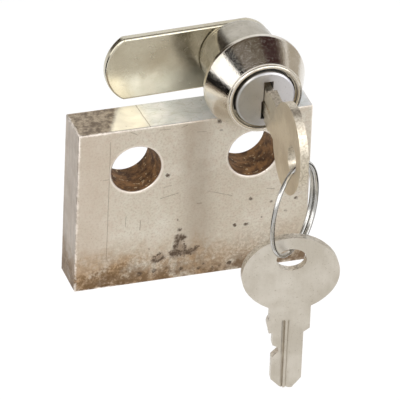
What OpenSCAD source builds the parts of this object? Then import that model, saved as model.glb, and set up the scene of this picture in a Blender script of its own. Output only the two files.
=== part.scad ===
// Enclosure lock: a short cam lock standing on the top edge of a drilled steel
// block, with a key in the lock and a spare key hanging on a split ring.
// The origin lies midway between the two bolt holes, on the block's back face.
// X runs to the right, Y to the back and Z up. All sizes are in millimetres.

/* [Block] */
// Width of the block, along the line of its bolt holes
block_w = 50.8; // [46:0.1:60]
// Thickness of the block, front to back
block_t = 9.525; // [8:0.025:12]
// Height of the block above the bolt hole centres
block_above = 9.9; // [8:0.1:14]
// Height of the block below the bolt hole centres
block_below = 28.2; // [20:0.1:36]
// Distance between the bolt holes
bolt_pitch = 25.4; // [20:0.1:30]
// Diameter of the bolt holes
bolt_hole_d = 10.72; // [8:0.02:12]
// Depth of the countersunk edge of each bolt hole
hole_chamfer = 0.35; // [0.2:0.05:0.8]
// Radius of the block's eased edges
block_edge = 0.5; // [0.3:0.05:1]

/* [Lock body] */
// Place of the lock's axis to the right of the bolt pattern's centre
lock_x = 11.85; // [4:0.05:14]
// Diameter of the barrel's round sides behind the head
barrel_d = 17; // [16.8:0.1:19]
// Diameter of the barrel at its back end
barrel_end_d = 16.22; // [16:0.02:16.8]
// Distance across the barrel's two flats
barrel_flats = 16.7; // [16.2:0.1:17.2]
// Largest diameter of the head
head_d = 21.76; // [20.5:0.02:24]
// Depth of the head's straight rim
head_rim = 1; // [0.6:0.1:2]
// Depth of the head's cone
head_cone = 7; // [6:0.1:9]
// Diameter of the rolled ring at the front of the head
head_ring_d = 15.64; // [15.2:0.02:17]
// Width of the rolled ring
head_ring_w = 0.87; // [0.6:0.01:1]
// Wall of the plated cap over the head
cap_wall = 0.6; // [0.4:0.05:0.8]

/* [Plug] */
// Diameter of the plug inside the barrel
plug_d = 11.4; // [11:0.05:11.6]
// Diameter of the plug's front flange
plug_head_d = 12.76; // [12.2:0.02:13]
// Depth of the plug's front flange
plug_head_t = 2.4; // [2:0.1:2.6]
// How far the plug's face stands in front of the rolled ring
plug_proud = 0.33; // [0.1:0.01:0.8]
// Solid length of plug behind the keyway
plug_web = 4.7; // [3:0.1:5]
// Width of the square tail that drives the cam
tail_w = 6; // [5.4:0.1:6.4]

/* [Wafers] */
// Thickness of each wafer
wafer_t = 0.9; // [0.7:0.05:1]
// Width of each wafer
wafer_w = 5.6; // [5.2:0.1:6]
// Distance from the plug's face to the first wafer's centre
wafer_first = 3.2; // [3.1:0.05:3.6]
// Length of blade beyond the last wafer's centre
wafer_last = 2.4; // [1.8:0.1:3]
// Travel of the wafers as the key is drawn out
wafer_rise = 0.76; // [0.5:0.01:0.85]
// Travel of the wafers as the key goes home
wafer_drop = 0.1; // [0.05:0.01:0.5]
// Diameter of the wafer springs
spring_d = 0.9; // [0.7:0.05:1]
// Wire of the wafer springs
spring_wire = 0.18; // [0.12:0.01:0.2]

/* [Cam] */
// Width of the cam
cam_w = 14.6; // [13:0.1:15.4]
// Reach of the cam from the lock's axis to its tip
cam_reach = 28.5; // [24:0.1:36]
// Depth of the cam's curved tip
cam_crown = 3.9; // [2:0.1:5]
// Reach of the cam's heel beyond the lock's axis
cam_heel = 7.9; // [6:0.1:9]
// Depth of the cam's curved heel
heel_crown = 5.7; // [4:0.1:6.4]
// Droop of the cam in the play of its square hole, in degrees
cam_droop = 1.3; // [0:0.1:1.4]
// Thickness of the cam
cam_t = 2; // [1.2:0.1:2.4]
// Thickness of the stop washer
stop_t = 0.7; // [0.6:0.05:2]
// Diameter of the stop washer
stop_d = 15.8; // [15:0.1:16]
// Turn of the plug between its stops, in degrees
plug_turn = 90; // [60:5:120]
// Thickness of the toothed lock washer
lock_washer_t = 0.7; // [0.5:0.05:1]
// Diameter of the toothed lock washer
lock_washer_d = 8.6; // [7.6:0.1:10]
// Diameter of the cam screw's thread
screw_d = 4; // [3.5:0.1:4.2]
// Diameter of the cam screw's head
screw_head_d = 8; // [7:0.1:9]
// Height of the cam screw's head
screw_head_t = 2.5; // [2.2:0.1:3]

/* [Keys] */
// Thickness of the keys
key_t = 1.8; // [1.6:0.05:2]
// Width of the bow
bow_w = 20.4; // [18:0.1:24]
// Length of the bow
bow_l = 17.7; // [16:0.1:20]
// Width of the bow's oval hole
bow_hole_w = 6.3; // [6:0.1:7]
// Length of the bow's oval hole
bow_hole_l = 5.2; // [5:0.1:5.6]
// Distance from the end of the bow to the hole's centre
bow_hole_in = 5.3; // [5:0.1:6]
// Width of the neck
neck_w = 9; // [8.4:0.1:10]
// Length of the neck
neck_l = 5.4; // [4.8:0.1:7]
// Width of the blade
blade_w = 6.4; // [6:0.05:6.6]
// Length of the blade
blade_l = 13.6; // [13:0.1:16]
// Distance from the shoulder to the deepest point of the cut
cut_at = 4.1; // [3.6:0.1:5]
// Depth of the cut in the blade
cut_depth = 1.4; // [1:0.1:1.8]
// Width of the milled grooves
groove_w = 0.8; // [0.6:0.05:0.9]
// Depth of the milled grooves
groove_depth = 0.45; // [0.3:0.05:0.55]
// Width of the ridge between the grooves
ridge_w = 0.5; // [0.4:0.05:0.7]
// How far the key in the lock stands out from its home place
key_out = 0.3; // [0.28:0.01:6]
// Droop of the key in the tall keyway, in degrees
key_droop = 8; // [0:0.5:9]
// Place of the keyway to the right of the lock's axis
keyway_right = 0.5; // [0:0.05:0.8]
// Height of the key's middle above the lock's axis, at its shoulder
keyway_up = -0.72; // [-1:0.02:0.3]
// Width of the step in the lower left side of the keyway
keyway_step = 0.4; // [0.2:0.05:0.6]

/* [Ring] */
// Diameter of the split ring, at the middle of its wire
ring_d = 19.8; // [18:0.1:24]
// Diameter of the ring's wire
ring_wire = 0.95; // [0.8:0.05:1.05]
// Turn of the ring's plane from the block's front, in degrees
ring_yaw = 46; // [40:1:48]
// Half of the arc over which the wire lies double, in degrees
ring_double = 70; // [50:5:75]
// Turn of the spare key from the block's front, in degrees
spare_yaw = -9; // [-15:1:0]

/* [Clearances] */
// Gap between the head and the block's front
head_clear = 0.2; // [0.1:0.05:0.5]
// Gap between the barrel's flat and the block's top
seat_clear = 0.03; // [0.02:0.01:0.1]
// Gap between the plated cap and the head inside it
cap_clear = 0.03; // [0.02:0.01:0.05]
// Running clearance of the plug in its bore, on the radius
plug_clear = 0.05; // [0.03:0.01:0.08]
// Gap around and behind the plug's flange
flange_clear = 0.3; // [0.2:0.05:0.4]
// Gap between the barrel's end and the stop washer
end_play = 0.18; // [0.1:0.02:0.3]
// Clearance of the square holes on the tail
tail_clear = 0.1; // [0.08:0.01:0.14]
// Clearance of the screw in the tail and of the washer on the screw
screw_clear = 0.05; // [0.03:0.01:0.1]
// Play of each wafer in its slot, and of the key in its way
wafer_play = 0.12; // [0.08:0.01:0.16]
// Gap between the shoulder of a key pushed home and the plug's face
home_clear = 0.1; // [0.05:0.05:0.3]
// Gap between the ring's wire and the edge of the hole that it hangs in
ring_clear = 0.6; // [0.5:0.05:0.8]
// Gap between the ring's wire and the edge of the spare key's hole
spare_clear = 0.25; // [0.2:0.05:0.5]

/* [Hidden] */
$fn = 64;
eps = 0.01;
end_lap = 0.2;
wafer_count = 5;

// Heights and depths in the lock, where a depth runs forward from the block's back face
lock_z = block_above + seat_clear + barrel_flats / 2;
head_back = block_t + head_clear;
ring_front = head_back + head_rim + head_cone;
plug_face = ring_front + plug_proud;
flange_back = plug_face - plug_head_t;
keyway_end = plug_face - blade_l - 2 * home_clear;
plug_end = keyway_end - plug_web;
barrel_end = plug_end + end_play;
cam_front = plug_end - stop_t;
cam_back = cam_front - cam_t;
screw_seat = cam_back - lock_washer_t;
tail_end = cam_back + end_play;

// Radii in the lock
bore_r = plug_d / 2 + plug_clear;
flange_bore_r = plug_head_d / 2 + flange_clear;
wafer_r = bore_r - wafer_drop - wafer_play;
lock_groove_r = wafer_r + wafer_rise + flange_clear;
cone_slope = (head_d - head_ring_d) / 2 / head_cone;

// Stop lug on the barrel and the notch that it runs in
lug_arc = 40;
lug_play = 1.5;
lug_at = 215;
lug_in_r = bore_r + 0.55;
lug_out_r = stop_d / 2 - 0.1;
lug_gap = 0.2;

// Wafer window, spring lug and spring pocket
wafer_pitch = (blade_l - wafer_first - wafer_last) / (wafer_count - 1);
slot_t = wafer_t + 2 * wafer_play;
window_w = key_t + 4 * wafer_play;
window_half = (blade_w / 2 + wafer_t / 2 * sin(key_droop)) / cos(key_droop);
spring_lug_w = spring_d + 0.2;
spring_lug_t = 0.8;
spring_lug_y = 0.8;
spring_l = 3.1;
spring_turns = 6;
pocket_bottom = spring_lug_y - spring_l - wafer_drop;

// Ends of the keyway's height, which holds the whole drooping blade
tip_slope = 2.4;
way_low = keyway_up - blade_w / 2 * cos(key_droop) - 1.5 * wafer_play;
way_top = keyway_up + (blade_l - tip_slope) * sin(key_droop) + blade_w / 2 * cos(key_droop) + 1.5 * wafer_play;

// Key outline, measured from its shoulder: the bow lies at +Y and the blade at -Y
key_end = neck_l + bow_l;
bow_hole_y = key_end - bow_hole_in;
bow_end_r = 0.85 * bow_l / 2;
bow_hole_r = 0.94 * bow_hole_l / 2;
neck_ear_r = 2.2;
neck_step = 0.45;
groove_start = neck_l / 2;

// Places of the key, the ring and the spare key, where the ring leans until its load hangs under its seat
key_x = lock_x + keyway_right;
key_z = lock_z + keyway_up;
key_lean = (neck_w / 2 - neck_step) * sin(key_droop);
key_shoulder = plug_face + home_clear + key_lean + key_out;
ring_step = ring_wire + 0.05;
hang_z = key_z - bow_hole_y * sin(key_droop) - bow_hole_w / 2 + ring_wire / 2 + ring_clear;
hang_depth = key_shoulder + bow_hole_y * cos(key_droop);
ring_top_offset = ring_offset(90);
ring_lean = atan(2 * ring_top_offset / ring_d);
ring_drop = ring_d / 2 / cos(ring_lean);
ring_centre = [key_x, -hang_depth, hang_z - ring_drop];
spare_hang = ring_centre - [0, 0, ring_drop];
spare_shoulder_z = spare_hang[2] + ring_wire / 2 + spare_clear - bow_hole_l / 2 - bow_hole_y;

// Colours as seen
steel_tan = "#a89c8c";
chrome = "#d8d6d0";
zinc = "#a9a8b2";
brass = "#b9a36a";
nickel = "#c3beb0";
spring_steel = "#9aa3ad";

// Smooth step from 0 to 1
function ease(t) = t * t * (3 - 2 * t);

// Offset of the ring's wire along the ring's axis: even where it lies double, and a slow ramp between
function ring_offset(a) =
    a <= ring_double ? ring_step / 2 :
    a >= 360 - ring_double ? -ring_step / 2 :
    ring_step * (0.5 - ease((a - ring_double) / (360 - 2 * ring_double)));

// Tube of round wire along a list of frames, each a point, an outward and a sideways direction
module wire(frames, wire_d, sides) {
    n = len(frames);
    points = [for (f = frames) for (k = [0:sides - 1])
        f[0] + wire_d / 2 * (cos(360 * k / sides) * f[1] + sin(360 * k / sides) * f[2])];
    walls = [for (i = [0:n - 2]) for (k = [0:sides - 1])
        [i * sides + k, i * sides + (k + 1) % sides, (i + 1) * sides + (k + 1) % sides, (i + 1) * sides + k]];
    near_end = [for (k = [sides - 1:-1:0]) k];
    far_end = [for (k = [0:sides - 1]) (n - 1) * sides + k];
    polyhedron(points = points, faces = concat(walls, [near_end, far_end]), convexity = 8);
}

// Rectangle about the origin with round corners
module eased_rect(w, h, r) {
    square([w - 2 * r, h], center = true);
    square([w, h - 2 * r], center = true);
    for (x = [-1, 1], y = [-1, 1])
        translate([x * (w / 2 - r), y * (h / 2 - r)]) circle(r);
}

// Oval of four tangent arcs, wider than long, with round ends of radius r
module oval(w, l, r) {
    a = l / 2;
    c = w / 2 - r;
    big_r = (c * c + a * a - r * r) / (2 * (a - r));
    meet = big_r * c / (big_r - r);
    intersection() {
        translate([0, a - big_r]) circle(big_r, $fn = 128);
        translate([0, big_r - a]) circle(big_r, $fn = 128);
        square([2 * meet, l], center = true);
    }
    for (x = [-1, 1])
        translate([x * c, 0]) circle(r);
}

// Frame of the lock: X to the right, Y up and Z forward from the block's back face
module lock_frame() translate([lock_x, 0, lock_z]) rotate([90, 0, 0]) children();

// Straight round piece between two depths in the lock's frame
module lock_round(r, from, to) translate([0, 0, from]) cylinder(r = r, h = to - from);

// Square bar between two depths in the lock's frame
module lock_square(w, from, to) translate([-w / 2, -w / 2, from]) cube([w, w, to - from]);

// Block of bar stock with eased edges and two bolt holes
module block_body() {
    h = block_above + block_below;
    translate([0, -block_t / 2, (block_above - block_below) / 2])
        intersection() {
            rotate([90, 0, 0]) linear_extrude(block_t, center = true) eased_rect(block_w, h, block_edge);
            rotate([90, 0, 90]) linear_extrude(block_w, center = true) eased_rect(block_t, h, block_edge);
            linear_extrude(h, center = true) eased_rect(block_w, block_t, block_edge);
        }
}

module bolt_hole() {
    r = bolt_hole_d / 2;
    translate([0, eps, 0]) rotate([90, 0, 0]) cylinder(r = r, h = block_t + 2 * eps);
    rotate([90, 0, 0]) cylinder(r1 = r + hole_chamfer, r2 = r, h = hole_chamfer);
    translate([0, -block_t, 0]) rotate([-90, 0, 0]) cylinder(r1 = r + hole_chamfer, r2 = r, h = hole_chamfer);
}

module block() {
    color(steel_tan)
        difference() {
            block_body();
            for (side = [-1, 1])
                translate([side * bolt_pitch / 2, 0, 0]) bolt_hole();
        }
}

// Half section of the head between its back and a front depth, set in from its outside by a wall
module head_section(wall, front) {
    rim_front = head_back + head_rim;
    polygon([
        [0, head_back], [head_d / 2 - wall, head_back], [head_d / 2 - wall, rim_front],
        [head_d / 2 - wall - cone_slope * (front - rim_front), front], [0, front]]);
}

// Plated cap: a thin cone with a rolled ring around the plug's face
module head_cap() {
    mouth_r = head_ring_d / 2 - head_ring_w;
    color(chrome) lock_frame()
        rotate_extrude($fn = 128) {
            difference() {
                head_section(0, ring_front - head_ring_w / 2);
                translate([0, -eps]) head_section(cap_wall, ring_front - head_ring_w);
                translate([0, head_back - eps]) square([mouth_r, head_rim + head_cone]);
            }
            translate([head_ring_d / 2 - head_ring_w / 2, ring_front - head_ring_w / 2]) circle(head_ring_w / 2);
        }
}

// Grooves in the bore that the wafers lock into, at both key positions
module lock_grooves() {
    groove_w = wafer_w + 4 * wafer_play;
    back = plug_face - wafer_first - (wafer_count - 1) * wafer_pitch - slot_t;
    intersection() {
        lock_round(lock_groove_r, back, flange_back);
        for (turn = [0, plug_turn])
            rotate(-turn) translate([-groove_w / 2, -lock_groove_r, back])
                cube([groove_w, 2 * lock_groove_r, flange_back - back]);
    }
}

// Die-cast housing: double-D barrel, conical head core and a lug that stops the cam
module barrel() {
    core_front = ring_front - head_ring_w - cap_clear;
    color(zinc) lock_frame()
        difference() {
            union() {
                intersection() {
                    translate([0, 0, barrel_end])
                        cylinder(r1 = barrel_end_d / 2, r2 = barrel_d / 2, h = head_back + head_rim / 2 - barrel_end);
                    translate([-barrel_d / 2, -barrel_flats / 2, barrel_end])
                        cube([barrel_d, barrel_flats, head_back + head_rim / 2 - barrel_end]);
                }
                rotate_extrude($fn = 128) head_section(cap_wall + cap_clear, core_front);
                translate([0, 0, plug_end - stop_t + lug_gap]) rotate(lug_at - lug_arc / 2)
                    rotate_extrude(angle = lug_arc) translate([lug_in_r, 0])
                        square([lug_out_r - lug_in_r, barrel_end - plug_end + stop_t]);
            }
            lock_round(bore_r, barrel_end - eps, plug_face);
            lock_round(flange_bore_r, flange_back - flange_clear, plug_face);
            lock_grooves();
        }
}

// Slot, key window gap and spring pocket for one wafer
module wafer_slot() {
    width = wafer_w + 2 * wafer_play;
    height = plug_d + 2 * eps;
    translate([-width / 2, -height / 2, -slot_t / 2]) cube([width, height, slot_t]);
    translate([0, pocket_bottom - wafer_play, -slot_t / 2])
        cube([wafer_w / 2 + spring_lug_w + 2 * wafer_play,
            spring_lug_y + spring_lug_t + wafer_rise + 2 * wafer_play - pocket_bottom, slot_t]);
}

// Place of a wafer's middle, where 0 is the one behind the plug's face
module at_wafer(i) translate([0, 0, plug_face - wafer_first - i * wafer_pitch]) children();

// Plug with its flange, keyway, wafer slots and square tail
module plug() {
    edge = 0.35;
    way_w = key_t + 2 * wafer_play;
    color(zinc) lock_frame()
        difference() {
            union() {
                lock_round(plug_d / 2, plug_end, flange_back + eps);
                rotate_extrude()
                    polygon([[0, flange_back], [plug_head_d / 2, flange_back],
                        [plug_head_d / 2, plug_face - edge], [plug_head_d / 2 - edge, plug_face], [0, plug_face]]);
                lock_square(tail_w, tail_end, plug_end + eps);
            }
            translate([keyway_right - way_w / 2, way_low, keyway_end])
                cube([way_w, way_top - way_low, plug_face - keyway_end + eps]);
            translate([keyway_right - way_w / 2 - keyway_step, way_low - keyway_step, keyway_end])
                cube([way_w / 2 + keyway_step, (way_top - way_low) / 2, plug_face - keyway_end + eps]);
            for (i = [0:wafer_count - 1])
                at_wafer(i) wafer_slot();
            lock_round(screw_d / 2 + screw_clear, tail_end - eps, keyway_end - end_play);
        }
}

// Flat wafer with round ends, a window for the drooping blade and a lug that its spring pushes up
module wafer(i) {
    middle = keyway_up + (wafer_first + i * wafer_pitch + key_shoulder - plug_face) * tan(key_droop);
    top = middle + window_half + wafer_drop + wafer_play;
    bottom = middle - window_half - wafer_rise - wafer_play;
    color(brass) lock_frame() at_wafer(i)
        linear_extrude(wafer_t, center = true) {
            difference() {
                intersection() {
                    circle(wafer_r);
                    square([wafer_w, 2 * wafer_r], center = true);
                }
                translate([keyway_right - window_w / 2, bottom])
                    square([window_w, top - bottom]);
            }
            translate([wafer_w / 2 - eps, spring_lug_y]) square([spring_lug_w, spring_lug_t]);
        }
}

// Coil spring under a wafer's lug
module wafer_spring(i) {
    steps = 10;
    coil_r = (spring_d - spring_wire) / 2;
    gap = wafer_play / 2 + spring_wire / 2;
    rise = spring_l - 2 * gap;
    frames = [for (k = [0:spring_turns * steps])
        let (a = 360 * k / steps, y = -spring_l + gap + rise * k / (spring_turns * steps))
        [[coil_r * cos(a), y, coil_r * sin(a)], [cos(a), 0, sin(a)], [0, 1, 0]]];
    color(spring_steel) lock_frame() at_wafer(i)
        translate([wafer_w / 2 + spring_lug_w / 2 + wafer_play, spring_lug_y, 0])
            wire(frames, spring_wire, 5);
}

// Stop washer: square hole on the tail and a long notch for the barrel's lug
module stop_washer() {
    notch = plug_turn + lug_arc + 2 * lug_play;
    color(nickel) lock_frame()
        difference() {
            lock_round(stop_d / 2, cam_front, plug_end);
            lock_square(tail_w + 2 * tail_clear, cam_front - eps, plug_end + eps);
            translate([0, 0, cam_front - eps]) rotate(lug_at - lug_arc / 2 - lug_play)
                rotate_extrude(angle = notch) translate([lug_in_r - flange_clear, 0])
                    square([stop_d, stop_t + 2 * eps]);
        }
}

// Segment of a disc with its chord on the Y axis and its crown at +X
module crowned_end(half, crown) {
    r = (half * half + crown * crown) / (2 * crown);
    intersection() {
        translate([crown - r, 0]) circle(r, $fn = 128);
        translate([-end_lap, -half]) square([crown + end_lap, 2 * half]);
    }
}

// Outline of the cam: straight sides, a curved tip at -X and a rounder heel at +X
module cam_outline() {
    half = cam_w / 2;
    tip_chord = cam_crown - cam_reach;
    heel_chord = cam_heel - heel_crown;
    translate([tip_chord + end_lap / 2, -half]) square([heel_chord - tip_chord - end_lap, cam_w]);
    translate([heel_chord, 0]) crowned_end(half, heel_crown);
    translate([tip_chord, 0]) mirror([1, 0]) crowned_end(half, cam_crown);
}

module cam() {
    color(nickel) lock_frame() rotate(cam_droop)
        difference() {
            translate([0, 0, cam_back]) linear_extrude(cam_t) cam_outline();
            lock_square(tail_w + 2 * tail_clear, cam_back - eps, cam_front + eps);
        }
}

// Toothed washer under the screw's head
module lock_washer() {
    teeth = 10;
    tooth_gap = 1.1;
    root_r = lock_washer_d / 2 - tooth_gap;
    color(nickel) lock_frame()
        difference() {
            lock_round(lock_washer_d / 2, screw_seat, cam_back);
            lock_round(screw_d / 2 + screw_clear, screw_seat - eps, cam_back + eps);
            for (k = [0:teeth - 1])
                rotate(360 * k / teeth) translate([root_r, -tooth_gap / 2, screw_seat - eps])
                    cube([lock_washer_d, tooth_gap, lock_washer_t + 2 * eps]);
        }
}

// Pan-head screw with a cross recess
module cam_screw() {
    head_r = screw_head_d / 2;
    side = 0.35 * screw_head_t;
    dome_h = screw_head_t - side;
    dome_r = (head_r * head_r + dome_h * dome_h) / (2 * dome_h);
    recess_w = 1;
    recess_l = 0.56 * screw_head_d;
    recess_depth = 0.55 * screw_head_t;
    color(nickel) lock_frame() {
        difference() {
            intersection() {
                lock_round(head_r, screw_seat - screw_head_t, screw_seat);
                translate([0, 0, screw_seat - screw_head_t + dome_r]) sphere(dome_r, $fn = 128);
            }
            for (turn = [0, 90])
                rotate(turn) translate([-recess_l / 2, -recess_w / 2, screw_seat - screw_head_t - eps])
                    cube([recess_l, recess_w, recess_depth]);
        }
        lock_round(screw_d / 2, screw_seat - eps, keyway_end - 2 * end_play);
    }
}

// Outline of a key without its bow's hole
module key_outline() {
    half = blade_w / 2;
    neck = neck_w / 2;
    cut_in = 1.2;
    cut_out = 1.9;
    tip_left = -0.15 * blade_w;
    tip_right = 0.2 * blade_w;
    tip_r = half + tip_left;
    translate([0, neck_l + bow_l / 2]) oval(bow_w, bow_l, bow_end_r);
    // Neck with a rounded ear on the cut side and a sloping step on the other
    polygon([[neck_step - neck, 0], [half, 0], [neck, 2 * neck_step], [neck, neck_l + bow_l / 2],
        [neck_step - neck, neck_l + bow_l / 2]]);
    translate([neck_ear_r - neck, neck_ear_r]) circle(neck_ear_r);
    // Blade with one sloping cut and an uneven tip
    difference() {
        polygon([[-half, neck_step], [-half, tip_r - blade_l], [tip_left, -blade_l], [tip_right, -blade_l],
            [half, tip_slope - blade_l], [half, neck_step]]);
        polygon([[-half - eps, -cut_at + cut_in], [cut_depth - half, -cut_at + cut_in / 3],
            [cut_depth - half, -cut_at - cut_in / 3], [-half - eps, -cut_at - cut_out]]);
    }
}

// Two milled grooves on one face, with a ridge between them and a round run-out at the neck
module key_grooves() {
    middle = -0.06 * blade_w;
    for (side = [-1, 1])
        translate([middle + side * (ridge_w + groove_w) / 2, 0, 0]) {
            translate([-groove_w / 2, -blade_l - eps, 0]) cube([groove_w, blade_l + groove_start, groove_depth + eps]);
            translate([0, groove_start, 0]) cylinder(d = groove_w, h = groove_depth + eps);
        }
}

// Stamped key in its own plane, with its thickness along Z about the origin
module key_body() {
    color(nickel)
        difference() {
            linear_extrude(key_t, center = true)
                difference() {
                    key_outline();
                    translate([0, bow_hole_y]) oval(bow_hole_w, bow_hole_l, bow_hole_r);
                }
            translate([0, 0, key_t / 2 - groove_depth]) key_grooves();
            mirror([0, 0, 1]) translate([0, 0, key_t / 2 - groove_depth]) key_grooves();
        }
}

module key_in_lock()
    lock_frame() translate([keyway_right, keyway_up, key_shoulder])
        rotate([key_droop, 0, 0]) rotate([90, 0, 90]) key_body();

module spare_key()
    translate([spare_hang[0], spare_hang[1], spare_shoulder_z]) rotate([90, 0, spare_yaw]) key_body();

// Split ring: one wire that lies double on one side and passes through both keys on the other
module split_ring() {
    steps = 100;
    r = ring_d / 2;
    span = 360 + 2 * ring_double;
    frames = [for (k = [0:steps])
        let (a = -ring_double + span * k / steps, z = ring_offset(a))
        [[r * cos(a), r * sin(a), z], [cos(a), sin(a), 0], [0, 0, 1]]];
    color(spring_steel) translate(ring_centre) rotate([90, 0, ring_yaw]) rotate([-ring_lean, 0, 0])
        wire(frames, ring_wire, 10);
}

block();
head_cap();
barrel();
plug();
stop_washer();
cam();
lock_washer();
cam_screw();
for (i = [1:wafer_count]) {
    wafer(i - 1);
    wafer_spring(i - 1);
}
key_in_lock();
split_ring();
spare_key();
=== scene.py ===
import math

import bmesh
import bpy
from mathutils import Matrix, Vector


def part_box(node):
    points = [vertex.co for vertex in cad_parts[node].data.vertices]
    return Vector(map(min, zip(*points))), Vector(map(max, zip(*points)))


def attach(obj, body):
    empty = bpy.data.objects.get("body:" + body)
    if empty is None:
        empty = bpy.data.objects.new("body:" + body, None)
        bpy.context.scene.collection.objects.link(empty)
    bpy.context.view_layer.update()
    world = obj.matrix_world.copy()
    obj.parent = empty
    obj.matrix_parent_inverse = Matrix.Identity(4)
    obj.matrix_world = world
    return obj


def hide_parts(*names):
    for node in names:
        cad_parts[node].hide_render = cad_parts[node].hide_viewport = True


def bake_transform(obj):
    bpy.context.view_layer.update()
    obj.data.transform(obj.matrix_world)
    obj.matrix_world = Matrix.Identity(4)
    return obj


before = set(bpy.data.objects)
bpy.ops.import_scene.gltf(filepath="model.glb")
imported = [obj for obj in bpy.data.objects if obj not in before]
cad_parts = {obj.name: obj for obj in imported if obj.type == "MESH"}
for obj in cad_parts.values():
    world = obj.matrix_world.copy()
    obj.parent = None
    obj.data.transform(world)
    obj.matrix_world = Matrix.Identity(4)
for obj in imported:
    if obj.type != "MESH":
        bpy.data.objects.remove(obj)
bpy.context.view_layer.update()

MM = 0.001
scene = bpy.context.scene

# Sizes in millimetres, as in the CAD source
LOCK_X, LOCK_Z = 11.85, 18.28
HOLE_PITCH, HOLE_R = 25.4, 5.36
BLOCK_HALF, BLOCK_TOP, BLOCK_LOW, BLOCK_FRONT = 25.4, 9.9, -28.2, -9.525
HEAD_RIM, HEAD_CONE = 1.0, 7.0
BEAD_D, BEAD_W, CAP_WALL = 15.64, 0.87, 0.6
RING_D, RING_WIRE, RING_YAW, RING_DOUBLE = 19.8, 0.95, 46.0, 70.0
RING_STEP = RING_WIRE + 0.05
SPRING_D, SPRING_WIRE, SPRING_TURNS = 0.9, 0.18, 6
WAFERS = 5
SPARE_YAW = math.radians(9.0)
KEY_FACE = (1, 0, 0)
SPARE_FACE = (math.sin(SPARE_YAW), math.cos(SPARE_YAW), 0)

# The cap's small forms, in millimetres
CAP_ROUND = 0.16
CAP_FOOT_EASE = (0.12, 0.08)
CAP_BEND = 0.12
CAP_SHOULDER = ((0.0, -0.25), (0.02, -0.05), (0.06, CAP_BEND))
CAP_BEAD_FOOT = 0.02
CAP_MOUTH = 1.3
CAP_LIP = 0.1

# Fineness of the meshes
WELD, GROOVE_WELD = 2e-6, 1e-5
FLAT_ANGLE, EASE_ANGLE = math.radians(0.3), math.radians(35)
SHARP_ANGLE, KEY_SHARP_ANGLE, TURNED_SHARP_ANGLE = math.radians(50), math.radians(24), math.radians(40)
LATHE_STEPS, CONE_STEPS, BEAD_STEPS, ROUND_STEPS = 256, 24, 24, 6
RING_STEPS, RING_SIDES, RING_TIP, RING_TIP_STEPS = 400, 20, 0.72, 4
SPRING_STEPS, SPRING_SIDES = 28, 10


# Mesh helpers

def add_object(name, mesh):
    obj = bpy.data.objects.new(name, mesh)
    scene.collection.objects.link(obj)
    return obj


def turned_mesh(name, verts, faces):
    mesh = bpy.data.meshes.new(name)
    mesh.from_pydata([Vector(v) * MM for v in verts], [], faces)
    mesh.update()
    bm = bmesh.new()
    bm.from_mesh(mesh)
    bmesh.ops.recalc_face_normals(bm, faces=bm.faces)
    bm.to_mesh(mesh)
    bm.free()
    mesh.shade_smooth()
    mesh.set_sharp_from_angle(angle=TURNED_SHARP_ANGLE)
    return mesh


def slope_grooves(bm):
    """Tilt the flat floors of a key's grooves, so that each falls from the face to the middle ridge."""
    face_normal = max(bm.faces, key=lambda f: f.calc_area()).normal.copy()

    def height(face):
        return face.calc_center_median().dot(face_normal)

    flat = [f for f in bm.faces if abs(f.normal.dot(face_normal)) > 0.999]
    heights = [height(f) for f in flat]
    middle = (min(heights) + max(heights)) / 2
    half = (max(heights) - min(heights)) / 2
    for side in (1, -1):
        out = face_normal * side
        floors = [f for f in flat if f.normal.dot(out) > 0
                  and 0.1 * half < side * (height(f) - middle) < 0.95 * half]
        grooves = sorted(floors, key=lambda f: f.calc_area())[-2:]
        ends = max(grooves[0].edges, key=lambda e: e.calc_length()).verts
        across = out.cross(ends[0].co - ends[1].co).normalized()
        lines = [v.co.dot(across) for f in grooves for v in f.verts]
        ridge = (min(lines) + max(lines)) / 2
        for groove in grooves:
            depth = half - side * (height(groove) - middle)
            offsets = [abs(v.co.dot(across) - ridge) for v in groove.verts]
            inner, outer = min(offsets), max(offsets)
            for v, offset in zip(groove.verts, offsets):
                v.co += out * depth * (offset - inner) / (outer - inner)
    bmesh.ops.remove_doubles(bm, verts=bm.verts, dist=GROOVE_WELD)


def dressed_copy(node, name, ease, segments=3, clamp=True, reshape=None, sharp=SHARP_ANGLE):
    """A copy of a CAD node with its edges eased, and first reshaped where a function is given."""
    bm = bmesh.new()
    bm.from_mesh(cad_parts[node].data)
    bmesh.ops.remove_doubles(bm, verts=bm.verts, dist=WELD)
    bmesh.ops.dissolve_limit(bm, angle_limit=FLAT_ANGLE, verts=bm.verts, edges=bm.edges)
    bmesh.ops.recalc_face_normals(bm, faces=bm.faces)
    if reshape:
        reshape(bm)
    if ease:
        edges = [e for e in bm.edges if len(e.link_faces) == 2 and e.calc_face_angle(0) > EASE_ANGLE]
        bmesh.ops.bevel(bm, geom=edges, offset=ease * MM, segments=segments, profile=0.5, affect="EDGES",
                        offset_type="OFFSET", clamp_overlap=clamp, harden_normals=False)
    mesh = bpy.data.meshes.new(name)
    bm.to_mesh(mesh)
    bm.free()
    mesh.shade_smooth()
    mesh.set_sharp_from_angle(angle=sharp)
    obj = add_object(name, mesh)
    normals = obj.modifiers.new("weighted_normals", "WEIGHTED_NORMAL")
    normals.keep_sharp = True
    normals.weight = 80
    return obj


def lathe(name, profile):
    """A turned piece: profile points are (radius, depth in front of the block's back face)."""
    n = len(profile)
    verts, faces = [], []
    for i in range(LATHE_STEPS):
        a = 2 * math.pi * i / LATHE_STEPS
        for r, d in profile:
            verts.append((LOCK_X + r * math.cos(a), -d, LOCK_Z + r * math.sin(a)))
    for i in range(LATHE_STEPS):
        j = (i + 1) % LATHE_STEPS
        for k in range(n):
            m = (k + 1) % n
            faces.append((i * n + k, i * n + m, j * n + m, j * n + k))
    return add_object(name, turned_mesh(name, verts, faces))


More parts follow.
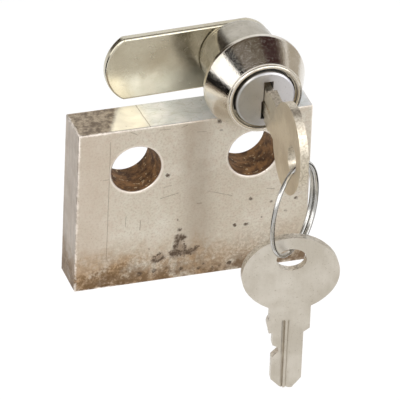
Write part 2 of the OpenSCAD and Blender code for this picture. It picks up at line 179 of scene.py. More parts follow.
def tube(name, points, sides):
    """A round wire along points, each (middle, outward direction, side direction, radius)."""
    verts, faces = [], []
    n = len(points)
    for middle, out, side, r in points:
        for k in range(sides):
            a = 2 * math.pi * k / sides
            verts.append(middle + r * (math.cos(a) * out + math.sin(a) * side))
    for i in range(n - 1):
        for k in range(sides):
            m = (k + 1) % sides
            faces.append((i * sides + k, i * sides + m, (i + 1) * sides + m, (i + 1) * sides + k))
    faces.append(tuple(range(sides - 1, -1, -1)))
    faces.append(tuple((n - 1) * sides + k for k in range(sides)))
    return add_object(name, turned_mesh(name, verts, faces))


def arc(cx, cy, r, start, end, count):
    angles = [math.radians(start + (end - start) * k / count) for k in range(count + 1)]
    return [(cx + r * math.cos(a), cy + r * math.sin(a)) for a in angles]


# Shader helpers

def srgb(*levels):
    """An 8-bit colour as the shader's linear values."""
    shares = [level / 255 for level in levels]
    return tuple(c / 12.92 if c <= 0.04045 else ((c + 0.055) / 1.055) ** 2.4 for c in shares)


class Shader:
    """A node material with a Principled shader."""

    def __init__(self, name, metallic=1.0):
        self.mat = bpy.data.materials.new(name)
        self.mat.use_nodes = True
        self.tree = self.mat.node_tree
        self.bsdf = next(n for n in self.tree.nodes if n.type == "BSDF_PRINCIPLED")
        self.bsdf.inputs["Metallic"].default_value = metallic
        places = self.new("ShaderNodeTexCoord")
        self.coords, self.normals = places.outputs["Object"], places.outputs["Normal"]
        self.colour = None

    def put(self, socket, value):
        if isinstance(value, bpy.types.NodeSocket):
            self.tree.links.new(value, socket)
        else:
            socket.default_value = value

    def new(self, kind, **settings):
        node = self.tree.nodes.new(kind)
        for key, value in settings.items():
            setattr(node, key, value)
        return node

    def mapped(self, scale, turn=(0, 0, 0)):
        node = self.new("ShaderNodeMapping")
        self.put(node.inputs["Vector"], self.coords)
        node.inputs["Scale"].default_value = scale
        node.inputs["Rotation"].default_value = turn
        return node.outputs["Vector"]

    def noise(self, scale, detail, rough, vector=None, distort=0.0):
        node = self.new("ShaderNodeTexNoise")
        self.put(node.inputs["Vector"], vector or self.coords)
        node.inputs["Scale"].default_value = scale
        node.inputs["Detail"].default_value = detail
        node.inputs["Roughness"].default_value = rough
        node.inputs["Distortion"].default_value = distort
        return node.outputs["Fac"]

    def streaks(self, scale, detail, rough, turn=(0, 0, 0)):
        """Noise with its own scale along each axis."""
        return self.noise(1.0, detail, rough, self.mapped(scale, turn))

    def spread(self, value, low, high, to_low=0.0, to_high=1.0):
        node = self.new("ShaderNodeMapRange", interpolation_type="SMOOTHSTEP")
        self.put(node.inputs["Value"], value)
        node.inputs["From Min"].default_value = low
        node.inputs["From Max"].default_value = high
        node.inputs["To Min"].default_value = to_low
        node.inputs["To Max"].default_value = to_high
        return node.outputs["Result"]

    def ramp(self, length, low, high, to_low=0.0, to_high=1.0):
        """As spread, for a length with its limits in millimetres."""
        return self.spread(length, low * MM, high * MM, to_low, to_high)

    def math(self, op, a, b=0.0):
        node = self.new("ShaderNodeMath", operation=op)
        self.put(node.inputs[0], a)
        self.put(node.inputs[1], b)
        return node.outputs["Value"]

    def plus(self, a, b):
        return self.math("ADD", a, b)

    def minus(self, a, b):
        return self.math("SUBTRACT", a, b)

    def times(self, a, b):
        return self.math("MULTIPLY", a, b)

    def least(self, a, b):
        return self.math("MINIMUM", a, b)

    def size(self, a):
        return self.math("ABSOLUTE", a)

    def length(self, a, b):
        return self.math("SQRT", self.plus(self.times(a, a), self.times(b, b)))

    def strongest(self, masks):
        joined = masks[0]
        for mask in masks[1:]:
            joined = self.math("MAXIMUM", joined, mask)
        return joined

    def xyz(self):
        node = self.new("ShaderNodeSeparateXYZ")
        self.put(node.inputs["Vector"], self.coords)
        return node.outputs["X"], node.outputs["Y"], node.outputs["Z"]

    def off_flat(self, direction):
        """1 where the surface stands across a flat face's direction, 0 on the face and on its back."""
        node = self.new("ShaderNodeVectorMath", operation="DOT_PRODUCT")
        self.put(node.inputs[0], self.normals)
        node.inputs[1].default_value = direction
        return self.spread(self.size(node.outputs["Value"]), 0.8, 0.6)

    def mix(self, fac, a, b):
        node = self.new("ShaderNodeMix", data_type="RGBA", blend_type="MIX")
        self.put(node.inputs["Factor"], fac)
        self.put(node.inputs["A"], (*a, 1) if isinstance(a, tuple) else a)
        self.put(node.inputs["B"], (*b, 1) if isinstance(b, tuple) else b)
        return node.outputs["Result"]

    def tint(self, mask, tone, depth=None):
        """Lay a tone over the colour so far where the mask is, and only to a depth if one is given."""
        self.colour = self.mix(self.times(mask, depth) if depth else mask, self.colour, tone)

    def bump(self, height, strength, distance, normal=None):
        node = self.new("ShaderNodeBump")
        self.put(node.inputs["Height"], height)
        self.put(node.inputs["Strength"], strength)
        node.inputs["Distance"].default_value = distance * MM
        if normal:
            self.put(node.inputs["Normal"], normal)
        return node.outputs["Normal"]

    def finish(self, rough, normal):
        self.put(self.bsdf.inputs["Base Color"], self.colour)
        self.put(self.bsdf.inputs["Roughness"], rough)
        self.put(self.bsdf.inputs["Normal"], normal)
        return self.mat


# Finishes

def satin_metal(name, tones, rough, mottle, peel, peel_scale=1500, grain=None, grain_depth=0.25, sheen_fade=None,
                pits=None, rims=None):
    """Plated or ground metal: two tones in soft clouds, specks of a third and an uneven polish.

    rough has the limits of the roughness, and peel is the depth of the plating's fine waves. grain has the
    scale of drawn lines along each axis, sheen_fade a painted reflection: a tone that takes over from one x
    to another, in millimetres. pits has the scale of sparse dents, and rims the direction of a flat face,
    with two tones for the rough edges round it.
    """
    s = Shader(name)
    s.colour = s.mix(s.spread(s.noise(mottle, 4, 0.6), 0.35, 0.65), tones[0], tones[1])
    # Painted reflection: a lighter tone that takes over along x.
    if sheen_fade:
        start, end, sheen_tone = sheen_fade
        drift = s.plus(s.xyz()[0], s.times(s.noise(260, 4, 0.6), 3.0 * MM))
        s.tint(s.ramp(drift, start, end), sheen_tone)
    s.tint(s.spread(s.noise(2600, 2, 0.5), 0.62, 0.74, 0.0, 0.5), tones[2])
    smears = s.noise(420, 5, 0.65, distort=0.6)
    roughness = s.spread(smears, 0.3, 0.7, rough[0], rough[1])
    normal = s.bump(s.noise(peel_scale, 3, 0.5), peel, 0.05)
    if grain:
        lines = s.streaks(grain, 4, 0.7)
        normal = s.bump(lines, grain_depth / 2, 0.02, normal)
        s.tint(s.spread(lines, 0.4, 0.7, 0.0, grain_depth), tones[2])
    if pits:
        normal = s.bump(s.spread(s.noise(pits, 2, 0.5), 0.58, 0.72), 0.2, 0.04, normal)
    if rims:
        face, dark, light = rims
        rim = s.off_flat(face)
        chatter = s.noise(2100, 4, 0.7)
        s.tint(rim, s.mix(s.spread(chatter, 0.34, 0.6), dark, light), 0.6)
        normal = s.bump(chatter, s.times(rim, 0.45), 0.05, normal)
    return s.finish(roughness, normal)


def key_nickel(name, face, light, dark):
    """Nickel plate with faint scratches, and rims that blanking left rough."""
    return satin_metal(name, (light, dark, srgb(170, 161, 146)), (0.34, 0.5), mottle=150, peel=0.1,
                       grain=(1300, 1300, 170), grain_depth=0.08,
                       rims=(face, srgb(146, 134, 117), srgb(222, 215, 202)))


# Marks on the block's front, in millimetres. Spots are x, z and radius.
FRONT_SPOTS = (
    (-2.8, -16.3, 0.62), (-5.8, -2.4, 0.45), (-3.4, -13.8, 0.32), (4.9, 9.0, 0.62), (8.3, 7.6, 0.34),
    (12.5, -11.0, 0.5), (11.8, -17.2, 0.5), (9.3, -16.9, 0.36), (15.2, -15.9, 0.34), (17.0, -12.5, 0.45),
    (-9.3, -20.0, 0.3), (5.4, 6.9, 0.26), (20.4, -15.2, 0.3), (22.6, -12.4, 0.35), (-11.2, -25.9, 0.6),
    (-7.9, -25.6, 0.5), (-2.1, -25.9, 0.65), (1.8, -26.4, 0.5), (2.7, -25.6, 0.35), (4.8, -27.0, 0.4),
    (6.3, -26.4, 0.45), (8.5, -26.2, 0.4))
# Stain, the dimmer patches round it, and scratches: x and z of both ends, half width and raggedness
FRONT_STAIN = (
    (-2.7, -18.0, -3.7, -21.0, 0.62, 3.2), (-2.1, -18.3, -1.5, -20.8, 0.58, 3.0),
    (-4.4, -21.8, -0.6, -22.1, 0.85, 3.4), (-0.4, -22.0, 1.6, -21.0, 0.5, 2.6),
    (-3.0, -18.0, -1.9, -18.4, 0.75, 2.6), (-8.3, -22.3, -7.0, -21.6, 0.5, 2.6),
    (-8.3, -22.6, -7.4, -23.5, 0.5, 2.4), (-7.3, -23.5, -6.2, -22.4, 0.46, 2.6))
FRONT_VEILS = (
    (-2.7, -18.4, -2.6, -21.8, 1.7, 3.6), (-4.0, -22.0, 0.8, -21.8, 1.3, 3.6),
    (-7.8, -22.8, -6.6, -22.4, 1.4, 3.4))
FRONT_SCRATCHES = (
    (-18.5, 7.6, -18.6, -21.2, 0.09, 0.12), (-11.4, -12.7, -11.5, -14.9, 0.14, 0.1),
    (3.0, -7.6, 8.4, -9.6, 0.09, 0.25), (-7.2, -7.9, -3.4, -7.1, 0.1, 0.4),
    (0.8, -10.3, 1.8, -10.4, 0.13, 0.2), (-14.6, -11.0, -14.7, -13.6, 0.08, 0.2),
    (0.2, 7.2, 2.2, 7.0, 0.09, 0.3), (-19.9, -1.6, -18.6, -1.5, 0.1, 0.3),
    (-14.2, 9.3, -12.9, 8.6, 0.13, 0.3), (-8.0, 8.9, -5.6, 8.8, 0.1, 0.3),
    (-3.2, 8.8, -2.0, 9.2, 0.12, 0.3), (-6.6, -5.3, -5.0, -5.0, 0.11, 0.4),
    (16.0, -9.0, 17.8, -9.4, 0.09, 0.3))


class BlockSteel(Shader):
    """Old bare steel: clouded tan metal with a painted shade band down the front, worn edges with a painted
    highlight, a top face painted paler as painted light, a left side painted darker as painted shade, rust
    low down, stains, spots and scratches.
    """

    # BRIGHT is worn metal and also a painted highlight, on the edges and round the hole mouths.
    PINK, BROWN, BRIGHT = srgb(204, 187, 172), srgb(124, 98, 68), srgb(250, 240, 230)

    def __init__(self):
        super().__init__("worn_block_steel", 0.75)
        self.x, self.y, self.z = self.xyz()
        self.ragged = self.minus(self.noise(900, 5, 0.75), 0.5)
        self.wander = self.minus(self.noise(160, 4, 0.6), 0.5)
        self.front = self.ramp(self.y, -8.8, -9.3)
        self.top = self.ramp(self.z, 9.76, 9.88)

    def wobble(self, length, amount):
        return self.plus(length, self.times(self.ragged, amount * MM))

    def drift(self, length, amount):
        return self.plus(length, self.times(self.wander, amount * MM))

    def spot(self, x, z, r):
        gap = self.length(self.minus(self.x, x * MM), self.minus(self.z, z * MM))
        return self.ramp(self.wobble(gap, 2.0), r * 1.15, r * 0.5)

    def stroke(self, x1, z1, x2, z2, w, rag):
        ax, az = (x2 - x1) * MM, (z2 - z1) * MM
        dx, dz = self.minus(self.x, x1 * MM), self.minus(self.z, z1 * MM)
        along = self.plus(self.times(dx, ax), self.times(dz, az))
        share = self.math("DIVIDE", along, ax * ax + az * az)
        share = self.least(self.math("MAXIMUM", share, 0.0), 1.0)
        off = self.length(self.minus(dx, self.times(share, ax)), self.minus(dz, self.times(share, az)))
        return self.ramp(self.wobble(off, rag), w, w * 0.35)

    def bare_metal(self):
        """Clouds, flecks, a pinkish left end, and a greyer band down the middle of the front that is painted
        shade standing in for a dark reflection.
        """
        clouds = self.spread(self.noise(70, 5, 0.6), 0.35, 0.65)
        self.colour = self.mix(clouds, srgb(210, 202, 187), srgb(224, 219, 207))
        self.tint(self.spread(self.noise(900, 4, 0.7), 0.35, 0.75, 0.0, 0.6), self.PINK)
        flecks = self.noise(2200, 3, 0.6)
        self.tint(self.spread(flecks, 0.52, 0.62, 0.0, 0.3), srgb(170, 152, 136))
        self.tint(self.spread(flecks, 0.48, 0.38, 0.0, 0.3), srgb(224, 216, 204))
        self.tint(self.ramp(self.drift(self.x, 6), -13, -23), self.PINK, 0.45)
        # Painted shade: a greyer band down the middle of the front, in place of a dark reflection there.
        shade_band_x = self.size(self.minus(self.plus(self.x, self.times(self.z, 0.04)), 0.5 * MM))
        self.tint(self.times(self.ramp(shade_band_x, 5.5, 0.5), self.front), srgb(166, 152, 136), 0.5)

    def rust(self):
        """Rust low on the faces, heaviest at the left and along the bottom edge."""
        height = self.drift(self.z, 10)
        low = self.ramp(height, -16.5, -25)
        patches = self.times(low, self.spread(self.noise(230, 6, 0.72), 0.3, 0.6))
        patches = self.times(patches, self.ramp(self.x, 14, -2, 0.4, 1.0))
        self.tint(patches, srgb(178, 146, 108), 0.85)
        corner = self.times(self.ramp(self.x, -9, -17), self.ramp(height, -21.5, -24.5))
        specks = self.spread(self.noise(1500, 4, 0.75), 0.4, 0.58)
        freckles = self.times(self.strongest([self.times(low, 0.55), corner]), specks)
        self.tint(freckles, self.BROWN, 0.85)
        hem = self.times(self.ramp(height, -24.2, -27.4), self.spread(self.noise(420, 4, 0.7), 0.36, 0.56))
        self.tint(hem, srgb(108, 82, 54), 0.8)
        return patches, hem

    def lit_top_face(self):
        """Painted light: the top face painted paler, as lit from above, with creases, a cream stretch, a
        brown stain at the left end and a fine crack.
        """
        # Painted light: near-white clouds over the top face, as the light from above falls on it.
        painted_light_clouds = self.spread(self.noise(210, 5, 0.65), 0.35, 0.65)
        self.tint(self.top, self.mix(painted_light_clouds, srgb(250, 252, 255), srgb(231, 236, 237)), 0.85)
        self.tint(self.times(self.top, self.ramp(self.x, -8.5, -11.5)), srgb(238, 230, 208), 0.6)
        edge = self.drift(self.plus(self.x, self.times(self.y, -0.46)), 1.6)
        stain = self.times(self.top, self.ramp(self.wobble(edge, 0.8), -13.6, -15))
        stain_clouds = self.spread(self.noise(640, 6, 0.75), 0.38, 0.62)
        self.tint(stain, self.mix(stain_clouds, srgb(116, 98, 80), srgb(194, 178, 156)), 0.92)
        cells = self.new("ShaderNodeTexVoronoi", feature="DISTANCE_TO_EDGE")
        self.put(cells.inputs["Vector"], self.mapped((420, 900, 420)))
        cells.inputs["Scale"].default_value = 1.0
        creases = self.times(self.spread(cells.outputs["Distance"], 0.05, 0.0),
                             self.times(self.top, self.ramp(self.x, -10.2, -9.2)))
        self.tint(creases, srgb(196, 194, 180), 0.35)
        crack_x = self.minus(self.plus(self.x, self.times(self.y, 0.05)), -10.4 * MM)
        crack = self.times(self.ramp(self.size(self.wobble(crack_x, 0.5)), 0.16, 0.05), self.top)
        self.tint(crack, srgb(140, 128, 110), 0.6)
        return stain, creases, crack

    def shaded_left_side(self):
        # Painted shade: the left side face painted darker, with dark streaks over it.
        side = self.ramp(self.x, -25.25, -25.38)
        dirt = self.spread(self.streaks((300, 1100, 110), 4, 0.6), 0.35, 0.7)
        self.tint(side, self.mix(dirt, srgb(148, 133, 117), srgb(112, 96, 81)), 0.55)

    def rubbed_and_highlit_edges(self):
        dx = self.minus(BLOCK_HALF * MM, self.size(self.x))
        dy = self.least(self.minus(self.y, BLOCK_FRONT * MM), self.times(self.y, -1.0))
        dz = self.least(self.minus(BLOCK_TOP * MM, self.z), self.minus(self.z, BLOCK_LOW * MM))
        gap = self.least(self.plus(dx, dy), self.least(self.plus(dy, dz), self.plus(dx, dz)))
        # Worn bright edges, also painted as a highlight along them, strongest at the left end.
        rubbed_and_highlit = self.times(self.ramp(self.wobble(gap, 0.9), 0.58, 0.2),
                            self.spread(self.noise(520, 4, 0.75), 0.4, 0.56))
        self.tint(self.times(rubbed_and_highlit, self.ramp(self.x, -11, -19, 0.2, 0.85)), self.BRIGHT)

    def holes(self):
        """Rusty walls with tan specks, and a bright ring round each mouth that is a painted highlight on the
        chamfer.
        """
        radius = self.length(self.minus(self.size(self.x), HOLE_PITCH / 2 * MM), self.z)
        # Painted highlight: a bright ring on the chamfer round each hole's mouth.
        self.tint(self.ramp(self.wobble(radius, 0.5), HOLE_R + 0.75, HOLE_R + 0.3), self.BRIGHT, 0.7)
        wall = self.ramp(radius, HOLE_R + 0.05, HOLE_R + 0.01)
        clouds = self.spread(self.noise(520, 6, 0.75), 0.36, 0.66)
        rust = self.mix(clouds, srgb(92, 68, 48), srgb(164, 124, 82))
        specks = self.spread(self.noise(1100, 3, 0.6), 0.6, 0.7)
        self.tint(wall, self.mix(specks, rust, srgb(214, 190, 152)))
        return wall

    def front_marks(self):
        veils = self.strongest([self.stroke(*m) for m in FRONT_VEILS])
        self.tint(self.times(veils, self.front), srgb(128, 108, 90), 0.6)
        marks = [self.spot(*m) for m in FRONT_SPOTS] + [self.stroke(*m) for m in FRONT_STAIN]
        ink = self.times(self.strongest(marks), self.front)
        ink_depth = self.spread(self.noise(1300, 3, 0.6), 0.32, 0.58, 0.25, 0.92)
        self.tint(self.times(ink, ink_depth), srgb(90, 74, 60))
        cuts = self.times(self.strongest([self.stroke(*m) for m in FRONT_SCRATCHES]), self.front)
        self.tint(cuts, srgb(120, 104, 90), 0.55)
        return ink, cuts

    def pits_and_hairlines(self):
        pits = self.spread(self.noise(1250, 2, 0.5), 0.72, 0.77)
        self.tint(pits, self.BROWN, 0.5)
        upright = self.spread(self.streaks((2600, 500, 90), 3, 0.6, (0, 0.05, 0)), 0.68, 0.78)
        slanted = self.spread(self.streaks((120, 600, 2400), 3, 0.6, (0, -0.3, 0)), 0.72, 0.8)
        hairs = self.strongest([upright, slanted])
        self.tint(hairs, srgb(140, 124, 110), 0.35)
        return pits, hairs

    def material(self):
        self.bare_metal()
        patches, hem = self.rust()
        stain, creases, crack = self.lit_top_face()
        self.shaded_left_side()
        self.rubbed_and_highlit_edges()
        wall = self.holes()
        ink, cuts = self.front_marks()
        pits, hairs = self.pits_and_hairlines()
        dirt = self.strongest([patches, hem, wall, ink, stain])
        polish = self.spread(self.noise(300, 5, 0.65), 0.3, 0.7, 0.3, 0.46)
        dull = self.times(self.top, self.ramp(self.x, -12, 4, 0.0, 0.16))
        rough = self.plus(self.plus(polish, dull), self.times(dirt, 0.28))
        height = self.minus(self.noise(800, 5, 0.65), self.plus(self.times(pits, 0.7), hairs))
        height = self.minus(height, self.times(dirt, self.noise(1700, 4, 0.7)))
        height = self.minus(height, self.strongest([cuts, crack, creases]))
        return self.finish(rough, self.bump(height, 0.22, 0.08))


MATERIALS = {
    "block_steel": BlockSteel().material(),
    "cap_chrome": satin_metal(
        "cap_chrome_plate", (srgb(222, 216, 206), srgb(206, 198, 184), srgb(236, 232, 224)), (0.05, 0.11),
        mottle=130, peel=0.42, peel_scale=3800, pits=4200),
    "zinc_casting": satin_metal(
        "cast_zinc", (srgb(186, 180, 168), srgb(168, 162, 148), srgb(128, 120, 106)), (0.15, 0.27),
        mottle=220, peel=0.14),
    # Painted reflection: the plug is painted lighter towards its right end.
    "plug_zinc": satin_metal(
        "satin_plug", (srgb(172, 170, 166), srgb(158, 156, 153), srgb(136, 133, 130)), (0.3, 0.44),
        mottle=160, peel=0.12, sheen_fade=(9.5, 18.0, srgb(217, 216, 221))),
    "plated_steel": satin_metal(
        "plated_steel", (srgb(196, 192, 182), srgb(178, 172, 158), srgb(130, 122, 108)), (0.2, 0.36),
        mottle=260, peel=0.12),
    "cam_nickel": satin_metal(
        "cam_nickel_plate", (srgb(206, 200, 182), srgb(192, 184, 164), srgb(150, 140, 118)), (0.17, 0.28),
        mottle=110, peel=0.08),
    "wafer_brass": satin_metal(
        "wafer_brass_sheet", (srgb(206, 178, 112), srgb(184, 152, 88), srgb(128, 102, 60)), (0.25, 0.42),
        mottle=300, peel=0.1, grain=(300, 3000, 300)),
    "spring_steel": satin_metal(
        "spring_wire", (srgb(168, 172, 178), srgb(144, 148, 154), srgb(104, 106, 110)), (0.2, 0.34),
        mottle=500, peel=0.08),
    "key_nickel": key_nickel("key_nickel_plate", KEY_FACE, srgb(236, 226, 206), srgb(219, 207, 186)),
    "spare_nickel": key_nickel("spare_nickel_plate", SPARE_FACE, srgb(225, 220, 212), srgb(209, 203, 193)),
    "ring_steel": satin_metal(
        "ring_wire_plate", (srgb(196, 194, 190), srgb(172, 170, 166), srgb(122, 120, 116)), (0.12, 0.24),
        mottle=260, peel=0.06),
}


# Pieces

def place(obj, node, body, slot, finish=None):
    obj.data.materials.clear()
    obj.data.materials.append(MATERIALS[finish or slot])
    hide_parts(node)
    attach(obj, body)


def head_cap():
    low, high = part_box("head_cap")
    back, front = -high.y / MM, -low.y / MM
    r = (high.x - low.x) / 2 / MM
    rim = back + HEAD_RIM
    inner = r - CAP_WALL
    slope = (r - BEAD_D / 2) / HEAD_CONE
    bead_r = BEAD_W / 2
    bead_c = BEAD_D / 2 - bead_r
    bead_d = front - bead_r
    mouth = bead_c - bead_r
    # Back edge and rim
    outline = [(inner, back + CAP_FOOT_EASE[1]), (inner + CAP_FOOT_EASE[0], back), (r - CAP_ROUND, back)]
    outline += arc(r - CAP_ROUND, back + CAP_ROUND, CAP_ROUND, -90, 0, ROUND_STEPS)[1:]
    outline += [(r - inset, rim + d) for inset, d in CAP_SHOULDER]
    # Cone
    start, end = rim + CAP_BEND, bead_d - CAP_BEND
    for k in range(1, CONE_STEPS + 1):
        d = start + (end - start) * k / CONE_STEPS
        outline.append((r - slope * (d - rim), d))
    # Rolled bead, mouth and inside
    outline.append((bead_c + bead_r - CAP_ROUND, bead_d + CAP_BEAD_FOOT))
    outline += arc(bead_c, bead_d, bead_r, -5, 185, BEAD_STEPS)[1:]
    lip = front - CAP_MOUTH - CAP_LIP
    outline += [(mouth, front - CAP_MOUTH), (mouth + CAP_LIP, lip)]
    outline += [(inner - slope * (lip - rim), lip), (inner, rim)]
    return lathe("cap_shell", outline)


def split_ring():
    low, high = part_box("split_ring")
    r = RING_D / 2
    single = 360 - 2 * RING_DOUBLE

    def offset(a):
        if a <= RING_DOUBLE:
            return RING_STEP / 2
        if a >= 360 - RING_DOUBLE:
            return -RING_STEP / 2
        t = (a - RING_DOUBLE) / single
        return RING_STEP * (0.5 - t * t * (3 - 2 * t))

    lean = math.atan(2 * offset(90) / RING_D)
    turn = Matrix.Rotation(math.radians(RING_YAW), 3, "Z") @ Matrix.Rotation(math.radians(90), 3, "X")
    turn = turn @ Matrix.Rotation(-lean, 3, "X")
    span = 360 + 2 * RING_DOUBLE
    points = []
    for k in range(RING_STEPS + 1):
        a = -RING_DOUBLE + span * k / RING_STEPS
        c, s = math.cos(math.radians(a)), math.sin(math.radians(a))
        taper = min(1.0, RING_TIP + (1 - RING_TIP) * min(k, RING_STEPS - k) / RING_TIP_STEPS)
        points.append((turn @ Vector((r * c, r * s, offset(a))), turn @ Vector((c, s, 0)),
                       turn @ Vector((0, 0, 1)), RING_WIRE / 2 * taper))
    first = Vector([min(p[0][i] for p in points) for i in range(3)])
    last = Vector([max(p[0][i] for p in points) for i in range(3)])
    shift = (low + high) / 2 / MM - (first + last) / 2
    return tube("ring_wire", [(p + shift, out, side, w) for p, out, side, w in points], RING_SIDES)


def wafer_spring(i):
    node = f"wafer_spring_{i}"
    low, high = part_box(node)
    c = (low + high) / 2 / MM
    bottom, top = low.z / MM + SPRING_WIRE / 2, high.z / MM - SPRING_WIRE / 2
    r = (SPRING_D - SPRING_WIRE) / 2
    steps = SPRING_TURNS * SPRING_STEPS
    points = []
    for k in range(steps + 1):
        a = 2 * math.pi * SPRING_TURNS * k / steps
        out = Vector((math.cos(a), -math.sin(a), 0))
        middle = Vector((c.x, c.y, bottom + (top - bottom) * k / steps)) + r * out
        points.append((middle, out, Vector((0, 0, 1)), SPRING_WIRE / 2))
    spring = tube(f"spring_coil_{i}", points, SPRING_SIDES)
    spring.data.materials.append(MATERIALS["spring_steel"])
    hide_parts(node)
    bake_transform(spring)


def dress(node, name, body, slot, finish=None, **form):
    place(dressed_copy(node, name, **form), node, body, slot, finish)


# ease is the width of the rounded edges, in millimetres
KEY_FORM = {"ease": 0.14, "reshape": slope_grooves, "sharp": KEY_SHARP_ANGLE}
dress("block", "block_bar", "block", "block_steel", ease=0)
place(head_cap(), "head_cap", "lock_body", "cap_chrome")
dress("barrel", "barrel_casting", "lock_body", "zinc_casting", ease=0.12)
dress("plug", "plug_body", "plug_set", "plug_zinc", ease=0.08, segments=2)
dress("stop_washer", "stop_plate", "plug_set", "plated_steel", ease=0.12)
dress("cam", "cam_plate", "plug_set", "cam_nickel", ease=0.55, segments=6, clamp=False)
dress("lock_washer", "tooth_washer", "plug_set", "plated_steel", ease=0.08, segments=2)
dress("cam_screw", "screw_body", "plug_set", "plated_steel", ease=0.1, segments=2)
for i in range(1, WAFERS + 1):
    dress(f"wafer_{i}", f"wafer_plate_{i}", "wafers", "wafer_brass", ease=0.06, segments=2)
    wafer_spring(i)
dress("key_in_lock", "key_turned", "key", "key_nickel", **KEY_FORM)
dress("spare_key", "key_spare", "spare", "key_nickel", "spare_nickel", **KEY_FORM)
place(split_ring(), "split_ring", "ring", "ring_steel")


# Stage, in millimetres

FLOOR_Z, FLOOR_REACH = -120, 4000
FLOOR_TONE, FLOOR_ROUGHNESS, FLOOR_GLOW = (0.92, 0.92, 0.92, 1), 0.9, 0.14
WORLD_LIGHT, WORLD_BACKGROUND = 0.75, 1.0
WHITE = (1, 1, 1, 1)

# Cards that the plated parts mirror: name, two opposite corners, tone and strength
CARDS = (
    ("card_top_left", (-345, 0, 320), (-185, 260, 320), srgb(24, 20, 18), 1.0),
    ("card_top_middle", (-185, 0, 320), (120, 260, 320), srgb(106, 96, 84), 1.0),
    ("card_top_right", (120, 0, 320), (380, 260, 320), srgb(70, 52, 50), 1.0),
    ("card_top_edge", (380, 0, 320), (520, 260, 320), srgb(116, 104, 96), 1.0),
    ("card_top_end", (520, 0, 320), (760, 260, 320), srgb(176, 168, 156), 1.0),
    ("card_front_low", (-260, -620, -112), (360, -62, -112), srgb(229, 225, 217), 1.0),
    ("card_right_low", (100, -150, -111), (340, 40, -111), srgb(56, 49, 42), 1.0),
    ("card_right_back", (400, 60, -110), (400, 420, 140), srgb(200, 193, 182), 1.0),
    ("card_back_left", (-270, 240, 15), (-70, 240, 215), srgb(74, 66, 57), 1.0),
    ("card_left_low", (-150, -40, -95), (-150, 110, 30), srgb(24, 22, 20), 1.0),
    ("card_left_high", (-150, -40, 30), (-150, 110, 150), srgb(255, 255, 255), 1.8),
)

# Soft boxes: name, place, aim, side and watts
SOFTBOXES = (
    ("key_box", (-420, -380, 520), (0, -10, 0), 420, 1.7),
    ("fill_box", (520, -300, 320), (0, -10, 0), 380, 0.8),
    ("front_box", (180, -520, 345), (0, -10, 5), 320, 0.75),
)


def rectangle(name, low, high):
    """A flat mesh between two opposite corners that share one coordinate."""
    u, v = [i for i in range(3) if low[i] != high[i]]
    corners = [Vector(low) for _ in range(4)]
    for corner in (1, 2):
        corners[corner][u] = high[u]
    for corner in (2, 3):
        corners[corner][v] = high[v]
    mesh = bpy.data.meshes.new(name)
    mesh.from_pydata([c * MM for c in corners], [], [(0, 1, 2, 3)])
    return mesh


def seen_directly(tree):
    """1 for rays from the camera and for those that polished or clear surfaces send on, else 0."""
    path = tree.nodes.new("ShaderNodeLightPath")
    value = path.outputs["Is Camera Ray"]
    for ray in ("Is Glossy Ray", "Is Transmission Ray"):
        either = tree.nodes.new("ShaderNodeMath")
        either.operation = "MAXIMUM"
        tree.links.new(value, either.inputs[0])
        tree.links.new(path.outputs[ray], either.inputs[1])
        value = either.outputs[0]
    return value


def pale_floor():
    mesh = rectangle("floor", (-FLOOR_REACH, -FLOOR_REACH, FLOOR_Z), (FLOOR_REACH, FLOOR_REACH, FLOOR_Z))
    obj = add_object("floor", mesh)
    mat = bpy.data.materials.new("floor_paper")
    mat.use_nodes = True
    tree = mat.node_tree
    bsdf = next(n for n in tree.nodes if n.type == "BSDF_PRINCIPLED")
    bsdf.inputs["Base Color"].default_value = FLOOR_TONE
    bsdf.inputs["Roughness"].default_value = FLOOR_ROUGHNESS
    bsdf.inputs["Emission Color"].default_value = WHITE
    glow = tree.nodes.new("ShaderNodeMath")
    glow.operation = "MULTIPLY"
    tree.links.new(seen_directly(tree), glow.inputs[0])
    glow.inputs[1].default_value = FLOOR_GLOW
    tree.links.new(glow.outputs[0], bsdf.inputs["Emission Strength"])
    mesh.materials.append(mat)


def reflected_card(name, low, high, tone, strength):
    """A card that only the polished parts see, as a reflection."""
    mesh = rectangle(name, low, high)
    obj = add_object(name, mesh)
    mat = bpy.data.materials.new(name)
    mat.use_nodes = True
    tree = mat.node_tree
    tree.nodes.clear()
    glow = tree.nodes.new("ShaderNodeEmission")
    glow.inputs["Color"].default_value = (*tone, 1)
    glow.inputs["Strength"].default_value = strength
    out = tree.nodes.new("ShaderNodeOutputMaterial")
    tree.links.new(glow.outputs[0], out.inputs["Surface"])
    mesh.materials.append(mat)
    obj.visible_camera = False
    obj.visible_diffuse = False
    obj.visible_shadow = False


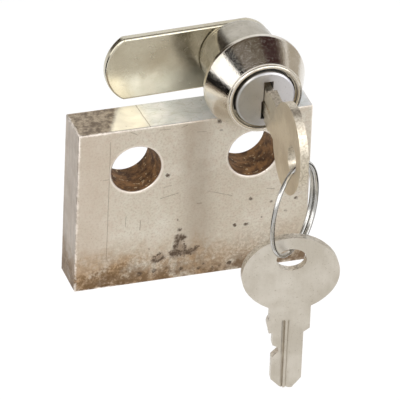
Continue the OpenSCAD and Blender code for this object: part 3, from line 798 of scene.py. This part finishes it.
def studio_world():
    world = bpy.data.worlds.new("studio")
    scene.world = world
    world.use_nodes = True
    tree = world.node_tree
    tree.nodes.clear()
    level = tree.nodes.new("ShaderNodeMapRange")
    level.inputs["To Min"].default_value = WORLD_LIGHT
    level.inputs["To Max"].default_value = WORLD_BACKGROUND
    tree.links.new(seen_directly(tree), level.inputs["Value"])
    sky = tree.nodes.new("ShaderNodeBackground")
    sky.inputs["Color"].default_value = WHITE
    tree.links.new(level.outputs[0], sky.inputs["Strength"])
    out = tree.nodes.new("ShaderNodeOutputWorld")
    tree.links.new(sky.outputs[0], out.inputs["Surface"])


def softbox(name, stand, aim, side, watts):
    light = bpy.data.lights.new(name, "AREA")
    light.shape = "RECTANGLE"
    light.size = side * MM
    light.size_y = side * MM
    light.energy = watts
    obj = add_object(name, light)
    obj.location = Vector(stand) * MM
    obj.rotation_euler = (Vector(aim) * MM - obj.location).to_track_quat("-Z", "Y").to_euler()


# The photograph's camera, as fitted to the block's corners and holes
AZIMUTH, ELEVATION, ROLL = math.radians(-18.99), math.radians(32.199), math.radians(2.441)
TARGET = Vector((0, -4.525, -10.2))
DISTANCE, SHIFT_RIGHT, SHIFT_UP = 1500, -2.898, 1.886
SENSOR, LENS = 36, 648.24
CLIP_NEAR, CLIP_FAR = 0.05, 20


def photo_camera():
    back = Vector((math.sin(AZIMUTH) * math.cos(ELEVATION), -math.cos(AZIMUTH) * math.cos(ELEVATION),
                   math.sin(ELEVATION)))
    level_right = Vector((math.cos(AZIMUTH), math.sin(AZIMUTH), 0))
    level_up = back.cross(level_right)
    right = math.cos(ROLL) * level_right + math.sin(ROLL) * level_up
    up = math.cos(ROLL) * level_up - math.sin(ROLL) * level_right
    data = bpy.data.cameras.new("camera")
    data.sensor_width = SENSOR
    data.lens = LENS
    data.clip_start, data.clip_end = CLIP_NEAR, CLIP_FAR
    camera = add_object("camera", data)
    stand = (TARGET + DISTANCE * back - SHIFT_RIGHT * right - SHIFT_UP * up) * MM
    camera.matrix_world = Matrix.Translation(stand) @ Matrix((right, up, back)).transposed().to_4x4()
    return camera


pale_floor()
for card in CARDS:
    reflected_card(*card)
studio_world()
for box in SOFTBOXES:
    softbox(*box)
scene.camera = photo_camera()
scene.view_settings.view_transform = "Standard"
